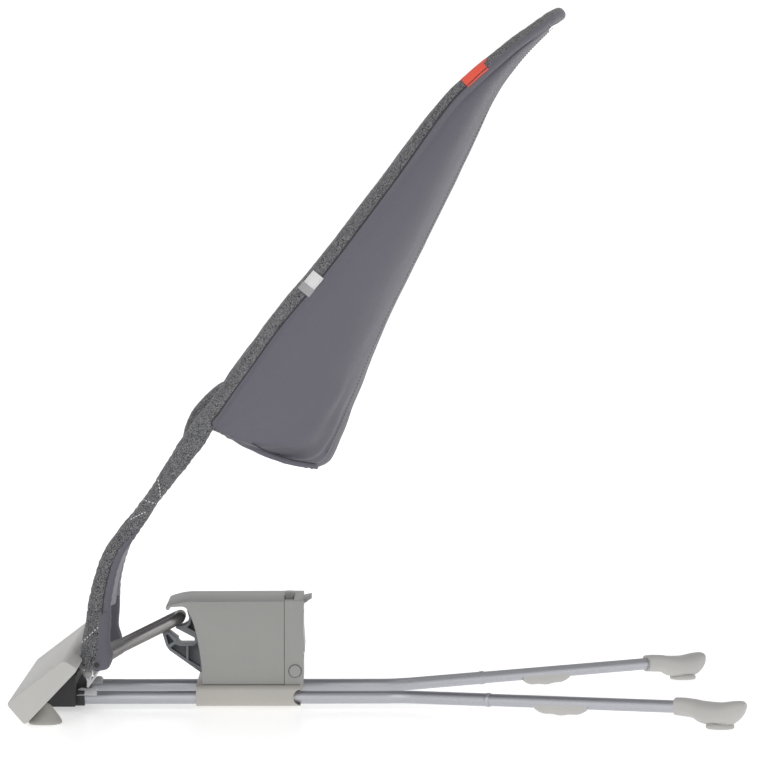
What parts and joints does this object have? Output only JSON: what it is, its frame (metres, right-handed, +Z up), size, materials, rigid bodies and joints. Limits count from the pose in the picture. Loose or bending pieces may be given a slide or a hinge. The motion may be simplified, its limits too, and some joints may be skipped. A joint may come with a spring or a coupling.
{
  "type": "baby bouncer seat",
  "caption": "Baby bouncer with a sling seat on a looped tube frame, tilting on a cross axle, and a notch carriage that slides on two rails spreading into rear legs.",
  "frame": {"origin": "middle of the object's box, on the floor", "axes": "+X from the foot bar to the head end, +Y to the seated child's right, +Z up"},
  "size_m": [0.7724, 0.4952, 0.762],
  "materials": {
    "pale_plastic": "satin moulded",
    "carriage_plastic": "satin moulded",
    "sleeve_plastic": "satin moulded",
    "cam_plastic": "satin moulded",
    "dark_plastic": "fine texture",
    "white_plastic": "satin moulded",
    "rail_steel": "satin",
    "bright_steel": "drawn",
    "pad_rubber": "matte",
    "rim_fabric": "knitted melange",
    "bag_nylon": "smooth woven nylon",
    "lining_fabric": "soft jersey",
    "webbing": "woven webbing",
    "coral_fabric": "woven tape",
    "label_fabric": "woven tape"
  },
  "bodies": {
    "base": {"front_foot": "pale_plastic", "foot_underplate": "pale_plastic", "rail_socket": "dark_plastic", "pivot_axle": "bright_steel", "tie_rod": "bright_steel", "front_pad_left": "pad_rubber", "front_pad_right": "pad_rubber", "rail_left": "rail_steel", "rail_right": "rail_steel", "leg_left": "rail_steel", "leg_right": "rail_steel", "joint_ring_left": "rail_steel", "joint_ring_right": "rail_steel", "rear_foot_left": "pale_plastic", "rear_foot_right": "pale_plastic", "rear_pad_left": "pad_rubber", "rear_pad_right": "pad_rubber", "glide_pad_left": "white_plastic", "glide_pad_right": "white_plastic", "pivot_bracket_left": "white_plastic", "pivot_bracket_right": "white_plastic", "axle_cap_left": "dark_plastic", "axle_cap_right": "dark_plastic"},
    "carriage": {"rail_sleeve": "sleeve_plastic", "slide_pad": "white_plastic", "carriage_housing": "carriage_plastic", "rear_cover": "carriage_plastic", "notch_cam": "cam_plastic", "lever_pin": "bright_steel", "button_spring_left": "bright_steel", "button_spring_right": "bright_steel"},
    "button_left_side": {"release_button_left": "carriage_plastic"},
    "button_right_side": {"release_button_right": "carriage_plastic"},
    "lever": {"release_lever": "carriage_plastic"},
    "catch": {"top_catch": "carriage_plastic"},
    "recliner": {"hub_core": "dark_plastic", "bail": "bright_steel"},
    "seat": {"seat_bag": "bag_nylon", "seat_pad": "lining_fabric", "leg_sling": "lining_fabric", "head_panel": "rim_fabric", "crotch_guard": "rim_fabric", "buckle": "dark_plastic", "coral_tab": "coral_fabric", "loop_label": "label_fabric", "seat_hub_left": "dark_plastic", "seat_hub_right": "dark_plastic", "seat_tube_left": "bright_steel", "seat_tube_right": "bright_steel", "rim_sleeve_left": "rim_fabric", "rim_sleeve_right": "rim_fabric", "hub_boot_left": "rim_fabric", "hub_boot_right": "rim_fabric", "waist_strap_left": "webbing", "waist_strap_right": "webbing"},
    "harness_button": {"buckle_button": "carriage_plastic"}
  },
  "joints": [
    {"name": "seat_recline", "type": "hinge", "parent": "base", "child": "recliner", "pos_m": [-0.2985, 0, 0.053], "axis": [0, 1, 0], "range_deg": [0, 20]},
    {"name": "seat_bounce", "type": "hinge", "parent": "recliner", "child": "seat", "pos_m": [-0.2985, 0, 0.053], "axis": [0, 1, 0], "range_deg": [-3, 5], "stiffness_Nm_per_rad": 250},
    {"name": "carriage_slide", "type": "slide", "parent": "base", "child": "carriage", "axis": [1, 0, 0], "range_m": [0, 0.087]},
    {"name": "release_lever_pull", "type": "hinge", "parent": "carriage", "child": "lever", "pos_m": [-0.084, 0, 0.113], "axis": [0, 1, 0], "range_deg": [0, 10], "stiffness_Nm_per_rad": 0.3, "springref_deg": -5.73},
    {"name": "top_catch_press", "type": "slide", "parent": "carriage", "child": "catch", "axis": [0, 0, -1], "range_m": [0, 0.0018], "stiffness_N_per_m": 800, "springref_m": -0.0005},
    {"name": "left_button_press", "type": "slide", "parent": "carriage", "child": "button_left_side", "axis": [0, 1, 0], "range_m": [0, 0.004], "stiffness_N_per_m": 800, "springref_m": -0.0005, "deforming": ["button_spring_left"]},
    {"name": "right_button_press", "type": "slide", "parent": "carriage", "child": "button_right_side", "axis": [0, -1, 0], "range_m": [0, 0.004], "stiffness_N_per_m": 800, "springref_m": -0.0005, "deforming": ["button_spring_right"]},
    {"name": "buckle_press", "type": "slide", "parent": "seat", "child": "harness_button", "axis": [0.8, 0, -0.6], "range_m": [0, 0.002], "stiffness_N_per_m": 800, "springref_m": -0.0005}
  ],
  "couplings": [
    {"joint": "carriage_slide", "follows": "seat_recline", "m_per_rad": 0.246}
  ]
}
